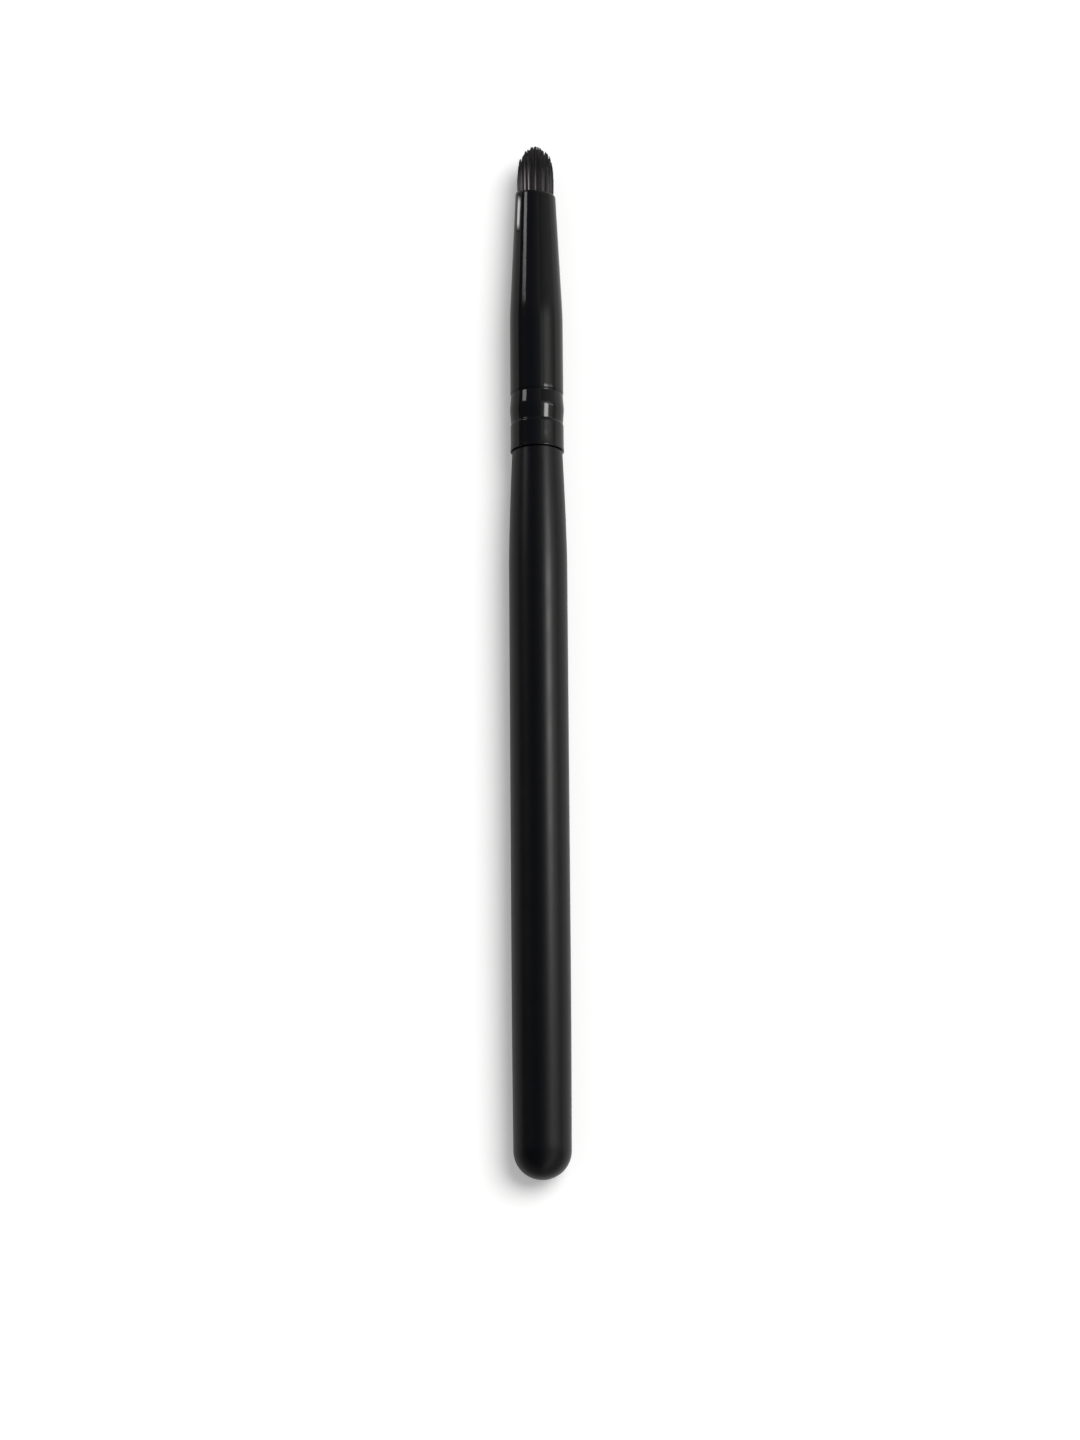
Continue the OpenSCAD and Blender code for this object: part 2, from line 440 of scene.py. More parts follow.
def add_piece(name, points, faces, material, node, crease=CREASE):
    """Makes a smooth mesh that stands for a CAD node and rides with the brush."""
    mesh = bpy.data.meshes.new(name)
    mesh.from_pydata(points, [], faces)
    mesh.validate()
    mesh.shade_smooth()
    mesh.set_sharp_from_angle(angle=math.radians(crease))
    mesh.materials.append(material)
    piece = bpy.data.objects.new(name, mesh)
    bpy.context.scene.collection.objects.link(piece)
    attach(piece, "root")
    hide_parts(node)
    return piece


# Profile of the ferrule, with heights z counted from its handle end


def ease(u):
    """A share from 0 to 1, eased at both ends."""
    return (1 - math.cos(math.pi * u)) / 2


def roof(f, u):
    """A share from 0 to 1, with a straight flank and a rounded top."""
    over = max(0, u - 1 + f.ridge_round)
    return (u - over * over / (2 * f.ridge_round)) / (1 - f.ridge_round / 2)


def narrowing(f, z):
    """How far the ferrule has narrowed at a height: a soft start, then a straight taper."""
    slope = (f.straight_d - f.mouth_d) / 2 / f.cone_l
    cone_z = f.long - f.cone_l
    past = z - (cone_z - f.cone_blend / 2)
    if past < 0:
        return 0
    if past < f.cone_blend:
        return slope * past * past / (2 * f.cone_blend)
    return slope * (z - cone_z)


def crimp(f, z):
    """The crimp: a groove at each end and a ridge between them."""
    half = f.crimp_l / 2
    from_end = half - abs(z - f.crimp_at - half)
    if from_end < 0:
        return 0
    if from_end < f.crimp_wall:
        return -f.crimp_depth * ease(from_end / f.crimp_wall)
    rise = (f.crimp_depth + f.ridge_rise) * roof(f, (from_end - f.crimp_wall) / (half - f.crimp_wall))
    return rise - f.crimp_depth


def ferrule_r(f, z):
    """Outer radius of the ferrule at a height."""
    flare = f.flare_rise * (1 - z / f.flare_l) ** 2 if z < f.flare_l else 0
    return f.straight_d / 2 - narrowing(f, z) + crimp(f, z) + flare


def bore_r(f, z):
    """Radius inside the ferrule's metal at a height."""
    return ferrule_r(f, z) - f.wall


def mouth_z(f):
    """Height at which the rolled lip begins, on the axis."""
    return f.long - f.lip_h


def ferrule_heights(f):
    """Heights of the rings from the handle end to where the slant begins, closest where the metal bends."""
    crimp_end = f.crimp_at + f.crimp_l
    blend_start = f.long - f.cone_l - f.cone_blend / 2
    heights = spread(f.edge_r, f.flare_l, 2 * FINE_STEP)
    heights += spread(f.flare_l, f.crimp_at, BLEND_STEP)
    heights += spread(f.crimp_at, crimp_end, FINE_STEP)
    heights += spread(crimp_end, blend_start, STRAIGHT_STEP)
    heights += spread(blend_start, blend_start + f.cone_blend, BLEND_STEP)
    heights += spread(blend_start + f.cone_blend, mouth_z(f) - SLANT_RUN, STRAIGHT_STEP)
    return heights


def slanted_ring(f, z, inset=0, lift=0):
    """A ring of the ferrule that is lower on one side, more and more so towards the mouth."""
    share = max(0.0, 1 - (mouth_z(f) - z) / SLANT_RUN)
    points = []
    for a in turns(AROUND):
        height = z - ferrule_r(f, z) * math.cos(a - f.slant_turn) * math.tan(f.slant) * share
        radius = ferrule_r(f, height) - inset
        points.append((radius * math.cos(a), RIM_Y + height + lift, AXIS_Z + radius * math.sin(a)))
    return points


# Shader nodes


def spaced(values):
    """Values by the names of sockets, which have a space for each underscore."""
    return {key.replace("_", " "): value for key, value in values.items()}


def set_inputs(tree, node, values):
    """Sets inputs of a node to numbers and colours, or links them to outputs of other nodes."""
    for key, value in dict(values).items():
        if isinstance(value, bpy.types.NodeSocket):
            tree.links.new(value, node.inputs[key])
        else:
            node.inputs[key].default_value = value


def add_node(tree, kind, inputs=(), **attributes):
    """Adds a node in the next free cell, with its plain attributes and its inputs."""
    node = tree.nodes.new(kind)
    column, row = divmod(len(tree.nodes), GRID_ROWS)
    node.location = (GRID_LEFT + column * GRID_CELL, -row * GRID_CELL)
    for key, value in attributes.items():
        setattr(node, key, value)
    set_inputs(tree, node, inputs)
    return node


def calculate(tree, operation, *values, **attributes):
    """The result of a math node."""
    return add_node(tree, "ShaderNodeMath", enumerate(values), operation=operation, **attributes).outputs[0]


def ranged(tree, value, start, end, low, high, kind="SMOOTHSTEP"):
    """A value taken from one range to another, and held beyond its ends."""
    inputs = {"Value": value, "From Min": start, "From Max": end, "To Min": low, "To Max": high}
    return add_node(tree, "ShaderNodeMapRange", inputs, interpolation_type=kind).outputs[0]


def mixed(tree, kind, share, first, second):
    """A mix of two colours or numbers."""
    inputs = {"Factor": share, "A": first, "B": second}
    return add_node(tree, "ShaderNodeMix", inputs, data_type=kind).outputs["Result"]


def scaled(tree, vector, scale):
    """A colour or vector times a number."""
    inputs = {0: vector, "Scale": scale}
    return add_node(tree, "ShaderNodeVectorMath", inputs, operation="SCALE").outputs[0]


def place_in(tree, kind="Object"):
    """X, Y and Z of the place of a shaded point, or of the direction of a ray that leaves the scene."""
    place = add_node(tree, "ShaderNodeTexCoord").outputs[kind]
    return add_node(tree, "ShaderNodeSeparateXYZ", {0: place}).outputs


def new_group(name, inputs, outputs):
    """A shader node group with named sockets, and the outputs of the node that hands in its inputs."""
    group = bpy.data.node_groups.new(name, "ShaderNodeTree")
    for label, default in inputs.items():
        kind = "NodeSocketColor" if isinstance(default, tuple) else "NodeSocketFloat"
        group.interface.new_socket(name=label, in_out="INPUT", socket_type=kind).default_value = default
    for label, kind in outputs.items():
        group.interface.new_socket(name=label, in_out="OUTPUT", socket_type=kind)
    return group, add_node(group, "NodeGroupInput").outputs


def mottle_group(name):
    """Slow, faint changes of colour and gloss over a surface, as any hand-finished coat has."""
    inputs = {
        "Colour": (0.5, 0.5, 0.5, 1),
        "Patch Size": 2 * MM,
        "Colour Change": 0.1,
        "Roughness": 0.3,
        "Roughness Change": 0.05,
    }
    outputs = {"Colour": "NodeSocketColor", "Roughness": "NodeSocketFloat", "Mask": "NodeSocketFloat"}
    group, given = new_group(name, inputs, outputs)
    place = add_node(group, "ShaderNodeTexCoord").outputs["Object"]
    grain = {"Vector": place, "Scale": calculate(group, "DIVIDE", 1, given["Patch Size"]), "Detail": 3}
    noise = add_node(group, "ShaderNodeTexNoise", grain, noise_dimensions="3D").outputs["Fac"]
    centred = calculate(group, "SUBTRACT", noise, 0.5)
    brighter = calculate(group, "MULTIPLY_ADD", centred, given["Colour Change"], 1)
    change = (centred, given["Roughness Change"], given["Roughness"])
    rougher = calculate(group, "MULTIPLY_ADD", *change, use_clamp=True)
    tint = scaled(group, given["Colour"], brighter)
    add_node(group, "NodeGroupOutput", {"Colour": tint, "Roughness": rougher, "Mask": noise})
    return group


def tool_line_group(name):
    """Fine lines left by a tool, as a height: rings where short along the axis, streaks where long."""
    inputs = {"Size Along": 0.2 * MM, "Size Across": 4 * MM, "Depth": 1}
    group, given = new_group(name, inputs, {"Height": "NodeSocketFloat"})
    place = add_node(group, "ShaderNodeTexCoord").outputs["Object"]
    sizes = {"X": given["Size Across"], "Y": given["Size Along"], "Z": given["Size Across"]}
    size = add_node(group, "ShaderNodeCombineXYZ", sizes).outputs[0]
    stretched = add_node(group, "ShaderNodeVectorMath", {0: place, 1: size}, operation="DIVIDE").outputs[0]
    grain = {"Vector": stretched, "Scale": 1, "Detail": 4, "Roughness": 0.6}
    noise = add_node(group, "ShaderNodeTexNoise", grain, noise_dimensions="3D").outputs["Fac"]
    add_node(group, "NodeGroupOutput", {"Height": calculate(group, "MULTIPLY", noise, given["Depth"])})
    return group


GROUPS = {"Mottle": mottle_group, "Tool Lines": tool_line_group}


def place_group(tree, name, **values):
    """Places a shared node group, which is built on its first use, and gives its outputs."""
    group = bpy.data.node_groups.get(name) or GROUPS[name](name)
    return add_node(tree, "ShaderNodeGroup", spaced(values), node_tree=group).outputs


# Materials


def new_material(name, **constants):
    """A material with only its Principled shader, whose constants are set on its own sockets."""
    material = bpy.data.materials.new(name)
    material.use_nodes = True
    tree = material.node_tree
    shader = tree.nodes["Principled BSDF"]
    set_inputs(tree, shader, spaced(constants))
    return material, tree, shader


def tool_lines(along, across, depth=1.0):
    """Sizes of tool lines in millimetres, and the share of the relief that they take."""
    return {"Size_Along": along * MM, "Size_Across": across * MM, "Depth": depth}


def dress(tree, shader, relief, lines=(), **mottle):
    """Wires a shader: a mottled colour and roughness, and a relief of tool lines or else of the mottles."""
    coat = place_group(tree, "Mottle", **mottle)
    heights = [place_group(tree, "Tool Lines", **sizes)["Height"] for sizes in lines] or [coat["Mask"]]
    height = heights[0]
    for other in heights[1:]:
        height = calculate(tree, "ADD", height, other)
    bump = add_node(tree, "ShaderNodeBump", {"Strength": 1, "Distance": relief, "Height": height})
    wired = {"Base Color": coat["Colour"], "Roughness": coat["Roughness"], "Normal": bump.outputs["Normal"]}
    set_inputs(tree, shader, wired)


def lacquer_material(h):
    """Matte black lacquer over turned wood: faint turning rings under an uneven skin."""
    material, tree, shader = new_material("handle_lacquer", IOR=1.38)
    dress(
        tree,
        shader,
        relief=0.003 * MM,
        lines=(tool_lines(0.25, 9, 0.6), tool_lines(0.5, 0.4)),
        Colour=(*h.lacquer, 1),
        Patch_Size=3 * MM,
        Colour_Change=0.3,
        Roughness=h.roughness,
        Roughness_Change=0.12,
    )
    return material


def coat_material(f):
    """Gloss black coat on drawn metal: long soft draw lines and a faint unevenness."""
    material, tree, shader = new_material("ferrule_coat", IOR=1.42)
    dress(
        tree,
        shader,
        relief=0.006 * MM,
        lines=(tool_lines(9, 0.5), tool_lines(5, 2.5, 1.5)),
        Colour=(*f.coat, 1),
        Patch_Size=1.5 * MM,
        Colour_Change=0.2,
        Roughness=f.roughness,
        Roughness_Change=0.06,
    )
    return material


def bristle_material(t):
    """Dark synthetic hair: filaments differ in tone, some with a painted highlight, most near the ferrule,
    and their tips are paler.
    """
    material, tree, shader = new_material("bristle", IOR=1.4)
    # The tone attribute holds each filament's own tone and the painted highlight of the strands
    tone = add_node(tree, "ShaderNodeAttribute", attribute_name="tone").outputs["Fac"]
    along = add_node(tree, "ShaderNodeAttribute", attribute_name="along").outputs["Fac"]
    fading = ranged(tree, along, *TONE_AND_HIGHLIGHT_FADING)
    paling = ranged(tree, along, *TIP_PALING)
    share = calculate(tree, "MULTIPLY_ADD", tone, fading, paling, use_clamp=True)
    dress(
        tree,
        shader,
        relief=0.002 * MM,
        lines=(tool_lines(0.15, 0.05),),
        Colour=mixed(tree, "RGBA", share, (*t.dark, 1), (*t.light, 1)),
        Patch_Size=0.6 * MM,
        Colour_Change=0.5,
        Roughness=t.roughness,
        Roughness_Change=0.15,
    )
    return material


def resin_material(r):
    """Set amber resin, slightly clouded."""
    material, tree, shader = new_material("resin", IOR=1.52, Transmission_Weight=0.4)
    dress(
        tree,
        shader,
        relief=0.05 * MM,
        Colour=(*r.resin, 1),
        Patch_Size=1.2 * MM,
        Colour_Change=0.5,
        Roughness=r.roughness,
        Roughness_Change=0.2,
    )
    return material


# Operators for the pieces


class LIPBRUSH_OT_handle(bpy.types.Operator):
    """Build the turned handle with its round end, straight grip, neck and tenon"""

    bl_idname = "lip_brush.handle"
    bl_label = "Handle"

    def execute(self, context):
        h = context.scene.lip_brush_handle
        f = context.scene.lip_brush_ferrule
        rings = [ring(y, radius) for y, radius in self.profile(h, f)]
        points, faces = skin(rings, (0, TAIL_Y, AXIS_Z), (0, TENON_END_Y, AXIS_Z))
        add_piece("turned_handle", points, faces, lacquer_material(h), "handle")
        return {"FINISHED"}

    def profile(self, h, f):
        """Places along the axis and radii, from the round end to the end of the tenon."""
        tail_r = h.tail_d / 2
        grip_r = h.grip_d / 2
        neck_r = bore_r(f, 0) - h.tenon_gap + h.shoulder
        neck_end = RIM_Y - h.relief_l
        neck_y = neck_end - h.neck_l
        outline = []
        for a in quarter(ROUND_END_STEPS)[1:-1]:
            outline.append((TAIL_Y + tail_r * (1 - math.cos(a)), tail_r * math.sin(a)))
        for t in spread(tail_r, h.tail_l, TAIL_STEP):
            u = (t - tail_r) / (h.tail_l - tail_r)
            outline.append((TAIL_Y + t, tail_r + (grip_r - tail_r) * math.sin(math.pi / 2 * u)))
        outline += [(y, grip_r) for y in spread(TAIL_Y + h.tail_l, neck_y, GRIP_STEP)]
        for y in spread(neck_y, neck_end, NECK_STEP) + [neck_end]:
            u = (y - neck_y) / h.neck_l
            outline.append((y, grip_r - (grip_r - neck_r) * u**h.neck_curve))
        outline += [(y, neck_r - h.relief_depth) for y in (neck_end, RIM_Y, RIM_Y + h.relief_l)]
        tenon_l = TENON_END_Y - RIM_Y
        chamfer_z = tenon_l - h.tenon_chamfer
        for z in [h.relief_l] + [z for z in ferrule_heights(f) if h.relief_l < z < chamfer_z]:
            outline.append((RIM_Y + z, bore_r(f, z) - h.tenon_gap))
        end_r = bore_r(f, tenon_l) - h.tenon_gap
        outline.append((TENON_END_Y - h.tenon_chamfer, end_r))
        outline.append((TENON_END_Y, end_r - h.tenon_chamfer))
        return outline


class LIPBRUSH_OT_ferrule(bpy.types.Operator):
    """Build the drawn ferrule with its crimp, taper and slanted, rolled mouth"""

    bl_idname = "lip_brush.ferrule"
    bl_label = "Ferrule"

    def execute(self, context):
        f = context.scene.lip_brush_ferrule
        heights = ferrule_heights(f)
        slanted = spread(mouth_z(f) - SLANT_RUN, mouth_z(f), BLEND_STEP)
        rings = []
        for a in quarter(RIM_EDGE_STEPS)[::-1]:
            z = f.edge_r * (1 - math.sin(a))
            rings.append(ring(RIM_Y + z, ferrule_r(f, z) - f.edge_r * (1 - math.cos(a))))
        rings += [ring(RIM_Y + z, ferrule_r(f, z)) for z in heights[1:]]
        rings += [slanted_ring(f, z) for z in slanted]
        rings += [self.lip_ring(f, a) for a in quarter(LIP_STEPS)]
        rings += [slanted_ring(f, z, f.wall) for z in [mouth_z(f)] + slanted[::-1]]
        rings += [ring(RIM_Y + z, bore_r(f, z)) for z in heights[::-1] + [0]]
        points, faces = skin(rings, closed=True)
        add_piece("crimped_ferrule", points, faces, coat_material(f), "ferrule")
        return {"FINISHED"}

    def lip_ring(self, f, a):
        """A ring of the rolled edge: a quarter ellipse from the outer face over to the bore."""
        return slanted_ring(f, mouth_z(f), f.wall * (1 - math.cos(a)), f.lip_h * math.sin(a))


class LIPBRUSH_OT_tuft(bpy.types.Operator):
    """Build the domed tuft from separate filaments whose tips gather in small clumps"""

    bl_idname = "lip_brush.tuft"
    bl_label = "Tuft"

    def execute(self, context):
        t = context.scene.lip_brush_tuft
        f = context.scene.lip_brush_ferrule
        self.mouth = RIM_Y + mouth_z(f)
        chance = random.Random(TUFT_SEED)
        clumps = self.clumps(t, chance)
        points, faces, tones_and_highlights, alongs = [], [], [], []
        for i in range(t.filaments):
            filament = self.filament(t, i, clumps, chance)
            self.add_filament(t, f, filament, points, faces, tones_and_highlights, alongs)
        hair = bristle_material(t)
        tuft = add_piece("filament_tuft", points, faces, hair, "bristle_tuft", FILAMENT_CREASE)
        for name, values in (("tone", tones_and_highlights), ("along", alongs)):
            attribute = tuft.data.attributes.new(name, "FLOAT", "POINT")
            attribute.data.foreach_set("value", values)
        return {"FINISHED"}

    def clumps(self, t, chance):
        """The clumps: their centres as shares of the radius, and their shortness, lean and tone."""
        made = []
        for i in range(t.clumps):
            rho = math.sqrt((i + 0.5) / t.clumps)
            a = i * GOLDEN_ANGLE + chance.uniform(-CLUMP_TURN, CLUMP_TURN) / max(rho, CLUMP_CORE)
            made.append(
                {
                    "place": (rho * math.cos(a), rho * math.sin(a)),
                    "short": t.ragged * chance.random() ** SHORT_POWER,
                    "lean": (chance.gauss(0, CLUMP_LEAN), chance.gauss(0, CLUMP_LEAN)),
                    "tone": chance.random(),
                }
            )
        return made

    def bundle_r(self, t, f, y):
        """Radius of the bundle along the axis: it fills the bore, then swells a little and stays even."""
        z = min(y - RIM_Y, mouth_z(f))
        past = max(0.0, (y - RIM_Y - mouth_z(f)) / (TIP_Y - RIM_Y - mouth_z(f)))
        inside = bore_r(f, z) - CLEARANCE - t.filament_d / 2
        return inside * (1 + t.swell * math.sin(math.pi * min(1, past)))

    def dome_level(self, x, z):
        """How far out on the dome a place is, from 0 at its apex to 1 at its foot."""
        across = x - APEX_SHIFT
        return math.hypot(across * FULL_SIDE if across < 0 else across, z)

    def filament(self, t, number, clumps, chance):
        """Where one filament stands, how high it reaches, which way it leans, and its tone with any painted
        highlight.
        """
        rho = math.sqrt((number + 0.5) / t.filaments)
        a = number * GOLDEN_ANGLE + chance.uniform(-FILAMENT_TURN, FILAMENT_TURN)
        x = rho * math.cos(a)
        z = rho * math.sin(a)
        clump = min(clumps, key=lambda c: (c["place"][0] - x) ** 2 + (c["place"][1] - z) ** 2)
        goal = clump["place"]
        off = math.hypot(goal[0] - x, goal[1] - z) * math.sqrt(t.clumps)
        level = min(1.0, OWN_LEVEL * self.dome_level(x, z) + CLUMP_LEVEL * self.dome_level(*goal))
        ragged = min(1, RAGGED_RATE * level)
        short = clump["short"] * ragged + CLUMP_ROUNDING * off * off * ragged
        short += FILAMENT_SHORT * chance.random() ** 3
        outer = rho > OUTER_SHARE
        own_tone = PALE_TONE if chance.random() < PALE_SHARE else FILAMENT_TONE
        tone = CLUMP_TONE * clump["tone"] ** 4 + own_tone * chance.random() ** 2
        # Painted highlight: an outer filament on the upper face that falls in a strand takes its lighter
        # tone
        for place, half, strength in PAINTED_HIGHLIGHT_STRANDS:
            if outer and z > 0 and abs(x - place) < half:
                tone = max(tone, strength * chance.uniform(*PAINTED_STRAND_RANGE))
        out = chance.uniform(*STRAY_OUT) * MM if outer and chance.random() < STRAY_SHARE else 0
        dome = t.dome_h * (1 - math.sqrt(1 - level * level))
        lean = [
            both + chance.gauss(0, FILAMENT_LEAN) + out * side
            for both, side in zip(clump["lean"], (x, z))
        ]
        return {
            "place": (x, z),
            "outer": outer,
            "tip": TIP_Y - dome - short,
            "goal": goal,
            "lean": lean,
            "wave": (chance.uniform(0, math.tau), chance.uniform(0, math.tau)),
            "tone": tone,
        }

    def add_filament(self, t, f, hair, points, faces, tones_and_highlights, alongs):
        """Adds the tapered, closed tube of one filament."""
        tip = hair["tip"]
        sides, steps = OUTER_TUBE if hair["outer"] else INNER_TUBE
        base = self.mouth - BASE_DEPTH
        heights = [HAIR_ROOT_Y, base]
        heights += [base + (tip - base) * (i / steps) ** STEP_POWER for i in range(1, steps)]
        heights.append(tip - POINT_L)
        rings = []
        for y in heights:
            width = min(1.0, TIP_WIDTH + (1 - TIP_WIDTH) * ((tip - y) / TAPER_L))
            rings.append(ring(y, t.filament_d / 2 * width, sides, *self.centre(t, f, hair, y)))
        poles = []
        for y in (HAIR_ROOT_Y, tip):
            x, z = self.centre(t, f, hair, y)
            poles.append((x, y, AXIS_Z + z))
        tube, tube_faces = skin(rings, *poles)
        start = len(points)
        points += tube
        faces += [tuple(start + i for i in face) for face in tube_faces]
        for y in heights:
            alongs += [self.along(y)] * sides
        alongs += [0.0, self.along(tip)]
        tones_and_highlights += [hair["tone"]] * len(tube)

    def along(self, y):
        """A place along the free hair as a share of its length, 0 inside the ferrule."""
        return min(1.0, max(0.0, (y - self.mouth) / (TIP_Y - self.mouth)))

    def centre(self, t, f, hair, y):
        """Middle of a filament at a place along the axis, relative to the brush's axis."""
        radius = self.bundle_r(t, f, y)
        free = max(0.0, y - self.mouth)
        bend = free / (TIP_Y - self.mouth)
        draw = min(1.0, max(0.0, 1 - (hair["tip"] - y) / t.gather_l))
        pull = t.gather * draw * draw * (3 - 2 * draw) if free else 0
        middle = []
        for own, goal, lean, phase, rate in zip(
            hair["place"], hair["goal"], hair["lean"], hair["wave"], WAVE_RATES
        ):
            wave = WAVE * bend * math.sin(rate * free / MM + phase)
            middle.append(own * radius + (pull * (goal - own) * radius + lean * bend**2 + wave))
        return middle


class LIPBRUSH_OT_resin(bpy.types.Operator):
    """Give the resin plug behind the hair its finish"""

    bl_idname = "lip_brush.resin"
    bl_label = "Resin plug"

    def execute(self, context):
        material = resin_material(context.scene.lip_brush_resin)
        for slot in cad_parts["glue_plug"].material_slots:
            slot.material = material
        return {"FINISHED"}


class LIPBRUSH_OT_stage(bpy.types.Operator):
    """Set the floor, the surroundings, the lights and the camera"""

    bl_idname = "lip_brush.stage"
    bl_label = "Stage"

    def execute(self, context):
        s = context.scene.lip_brush_stage
        self.add_floor(s)
        self.set_surroundings(context.scene, s)
        self.add_sun(s)
        for name, card in CARDS.items():
            self.add_card(name, **card)
        self.add_camera(context.scene, s)
        context.scene.view_settings.view_transform = "Standard"
        return {"FINISHED"}

    def ray_masks(self, tree):
        """1 for rays from the camera, and 1 for rays from gloss and through glass, else 0."""
        path = add_node(tree, "ShaderNodeLightPath").outputs
        mirrored = calculate(tree, "MAXIMUM", path["Is Glossy Ray"], path["Is Transmission Ray"])
        return path["Is Camera Ray"], mirrored

    def plate(self, name, x, y, material):
        """A flat rectangle about its middle, from its half sizes."""
        mesh = bpy.data.meshes.new(name)
        mesh.from_pydata([(-x, -y, 0), (x, -y, 0), (x, y, 0), (-x, y, 0)], [], [(0, 1, 2, 3)])
        mesh.materials.append(material)
        plate = bpy.data.objects.new(name, mesh)
        bpy.context.scene.collection.objects.link(plate)
        return plate

    def add_floor(self, s):
        """A pale floor that keeps the shadow, glows a little where it is seen, and is dimmer in gloss, with
        painted shade towards -X and beyond the tail.
        """
        material, tree, shader = new_material(
            "pale_floor", Roughness=1, Specular_IOR_Level=0, Emission_Color=(1, 1, 1, 1)
        )
        floor = self.plate("floor", s.floor_size / 2, s.floor_size / 2, material)
        from_camera, mirrored = self.ray_masks(tree)
        place = place_in(tree)
        # Painted shade in the floor as gloss shows it: darker towards -X and beyond the tail
        side = ranged(tree, place["X"], -FLOOR_TURN, FLOOR_TURN, s.gloss_left, s.gloss_right)
        tail = ranged(tree, place["Y"], TAIL_Y - FLOOR_FADE, TAIL_Y, FLOOR_TAIL_SHARE, 1)
        share = mixed(tree, "FLOAT", mirrored, 1, calculate(tree, "MULTIPLY", side, tail))
        seen = calculate(tree, "MAXIMUM", from_camera, mirrored)
        glow = calculate(tree, "MULTIPLY", calculate(tree, "MULTIPLY", seen, share), s.floor_lift)
        set_inputs(tree, shader, {"Base Color": scaled(tree, s.floor, share), "Emission Strength": glow})

    def set_surroundings(self, scene, s):
        """White for the camera, the studio's levels for gloss, and an even light for the rest."""
        world = bpy.data.worlds.new("studio")
        scene.world = world
        world.use_nodes = True
        world.cycles.sampling_method = "NONE"
        tree = world.node_tree
        from_camera, mirrored = self.ray_masks(tree)
        even = (s.ambient, s.ambient, s.ambient, 1)
        for_gloss = mixed(tree, "RGBA", mirrored, even, self.studio_levels(tree))
        for_camera = mixed(tree, "RGBA", from_camera, for_gloss, (1, 1, 1, 1))
        set_inputs(tree, tree.nodes["Background"], {"Color": for_camera})

    def studio_levels(self, tree):
        """The studio that gloss shows: near and far levels across the brush, and a pale horizon."""
        way = place_in(tree, "Generated")
        across = calculate(tree, "ARCTAN2", way["X"], way["Z"])
        share = ranged(tree, across, -math.pi / 2, math.pi / 2, 0, 1, "LINEAR")
        near, far = (self.ramp(tree, share, levels) for levels in (STUDIO_LEVELS, FAR_LEVELS))
        both = mixed(tree, "RGBA", self.fade(tree, way["Y"], WALL_END, (0, 1)), near, far)
        horizon = self.fade(tree, way["Z"], HORIZON_BAND, (1, 0))
        pale = mixed(tree, "RGBA", horizon, both, (HORIZON_LEVEL, HORIZON_LEVEL, HORIZON_LEVEL, 1))
        return scaled(tree, pale, self.fade(tree, way["Y"], TAIL_FADE, (TAIL_LEVEL, 1)))

    def ramp(self, tree, share, levels):
        """Colours by a share from 0 to 1, which stands for the angles from -90 to 90 degrees."""
        node = add_node(tree, "ShaderNodeValToRGB", {"Fac": share})
        stops = node.color_ramp.elements
        stops.remove(stops[1])
        for i, (angle, level) in enumerate(levels):
            at = angle / 180 + 0.5
            stop = stops.new(at) if i else stops[0]
            stop.position = at
            stop.color = (*level, 1)
        return node.outputs["Color"]

    def fade(self, tree, value, degrees, ends):
        """A soft step between two values over a pair of angles, where the value is the sine of the angle."""
        start, end = (math.sin(math.radians(angle)) for angle in degrees)
        return ranged(tree, value, start, end, *ends)

    def face(self, obj, aim, across, along, distance):
        """Sets an object at a distance from its aim, by its angles from straight up, facing the aim."""
        across = math.radians(across)
        along = math.radians(along)
        away = Vector(
            (math.cos(along) * math.sin(across), math.sin(along), math.cos(along) * math.cos(across))
        )
        side = Vector((0, 1, 0)).cross(away).normalized()
        turned = Matrix((side, away.cross(side), away)).transposed().to_4x4()
        obj.matrix_world = Matrix.Translation(Vector(aim) + away * distance) @ turned

    def add_sun(self, s):
        """A broad sun that lights the floor and casts the shadow."""
        lamp = bpy.data.lights.new("broad_key", "SUN")
        lamp.energy = s.key
        lamp.angle = math.radians(KEY_SOFTNESS)
        sun = bpy.data.objects.new("broad_key", lamp)
        bpy.context.scene.collection.objects.link(sun)
        self.face(sun, (0, 0, 0), *KEY_ANGLES, 1)
        sun.visible_glossy = False

    def add_card(self, name, aim, across, along, distance, half_size, softness, radiance, tint):
        """A soft-edged glowing card that draws a highlight and is seen in gloss alone."""
        material = bpy.data.materials.new(name)
        material.use_nodes = True
        halves = [distance * math.tan(math.radians(angle)) for angle in half_size]
        card = self.plate(name, *halves, material)
        self.face(card, aim, across, along, distance)
        for kind in ("camera", "diffuse", "volume_scatter", "shadow"):
            setattr(card, "visible_" + kind, False)
        tree = material.node_tree
        tree.nodes.clear()
        place = place_in(tree)
        edges = []
        for side, half in zip("XY", halves):
            off = calculate(tree, "ABSOLUTE", place[side])
            edges.append(ranged(tree, off, half * (1 - softness), half, 1, 0))
        strength = calculate(tree, "MULTIPLY", calculate(tree, "MULTIPLY", *edges), radiance)
        glow = add_node(tree, "ShaderNodeEmission", {"Color": (*tint, 1), "Strength": strength})
        add_node(tree, "ShaderNodeOutputMaterial", {"Surface": glow.outputs[0]})

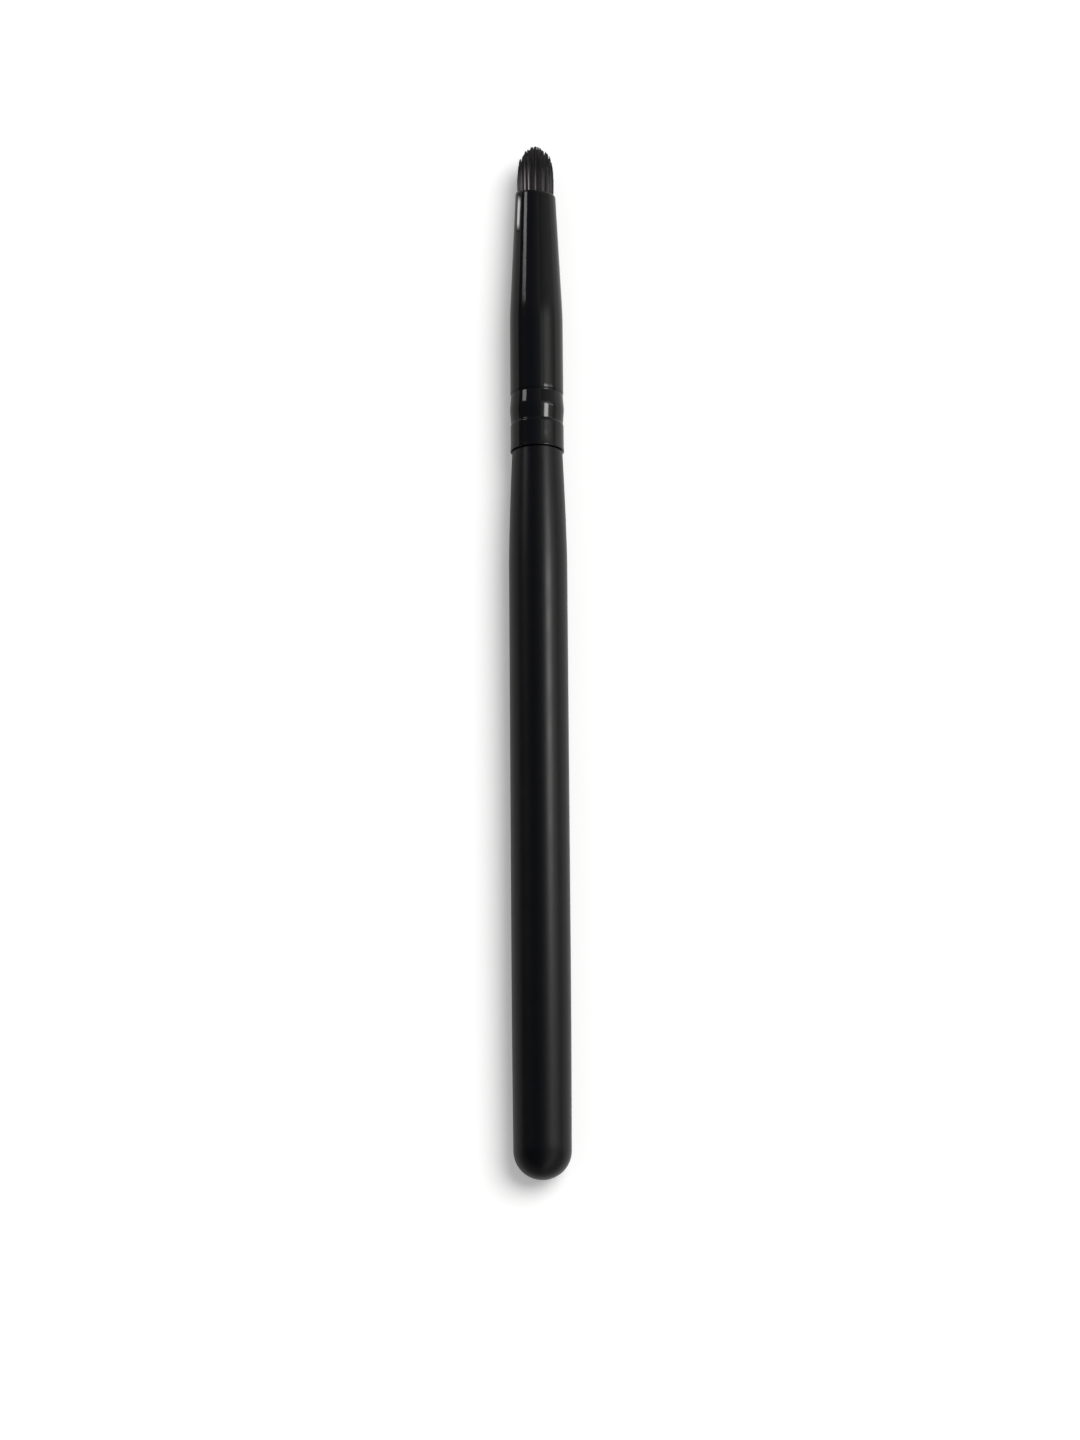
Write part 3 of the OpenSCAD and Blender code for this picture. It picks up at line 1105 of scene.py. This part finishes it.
    def add_camera(self, scene, s):
        """A camera that looks down on the brush from the handle's side, as the photograph does."""
        data = bpy.data.cameras.new("camera")
        camera = bpy.data.objects.new("camera", data)
        scene.collection.objects.link(camera)
        data.sensor_width = SENSOR
        data.lens = s.focal_px / IMAGE_HEIGHT * SENSOR
        data.clip_start = CLIP_START
        data.clip_end = CLIP_END
        aim = Vector((s.aim_x, s.aim_y, AXIS_Z))
        turned = Matrix.Rotation(s.tilt, 4, "X") @ Matrix.Rotation(s.roll, 4, "Z")
        back = turned @ Vector((0, 0, 1))
        camera.matrix_world = Matrix.Translation(aim + back * s.distance) @ turned
        scene.camera = camera


class VIEW3D_PT_lip_brush(bpy.types.Panel):
    """Lists the brush's pieces and their sizes"""

    bl_label = "Lip brush"
    bl_idname = "VIEW3D_PT_lip_brush"
    bl_space_type = "VIEW_3D"
    bl_region_type = "UI"
    bl_category = "Lip brush"

    def draw(self, context):
        for operator, name, _ in PIECES:
            box = self.layout.box()
            box.operator(operator.bl_idname)
            group = getattr(context.scene, name)
            for key in type(group).__annotations__:
                box.prop(group, key)


# Each piece's operator and the scene property that holds its settings, in the order in which they are made
PIECES = (
    (LIPBRUSH_OT_handle, "lip_brush_handle", HandleSettings),
    (LIPBRUSH_OT_ferrule, "lip_brush_ferrule", FerruleSettings),
    (LIPBRUSH_OT_tuft, "lip_brush_tuft", TuftSettings),
    (LIPBRUSH_OT_resin, "lip_brush_resin", ResinSettings),
    (LIPBRUSH_OT_stage, "lip_brush_stage", StageSettings),
)

CLASSES = (
    *(settings for _, _, settings in PIECES),
    *(operator for operator, _, _ in PIECES),
    VIEW3D_PT_lip_brush,
)


def register():
    for cls in CLASSES:
        bpy.utils.register_class(cls)
    for _, name, settings in PIECES:
        setattr(bpy.types.Scene, name, PointerProperty(type=settings))


def unregister():
    for _, name, _ in PIECES:
        delattr(bpy.types.Scene, name)
    for cls in reversed(CLASSES):
        bpy.utils.unregister_class(cls)


def main():
    """Builds every piece and the stage."""
    register()
    for operator, _, _ in PIECES:
        family, action = operator.bl_idname.split(".")
        getattr(getattr(bpy.ops, family), action)()


if __name__ == "__main__":
    main()
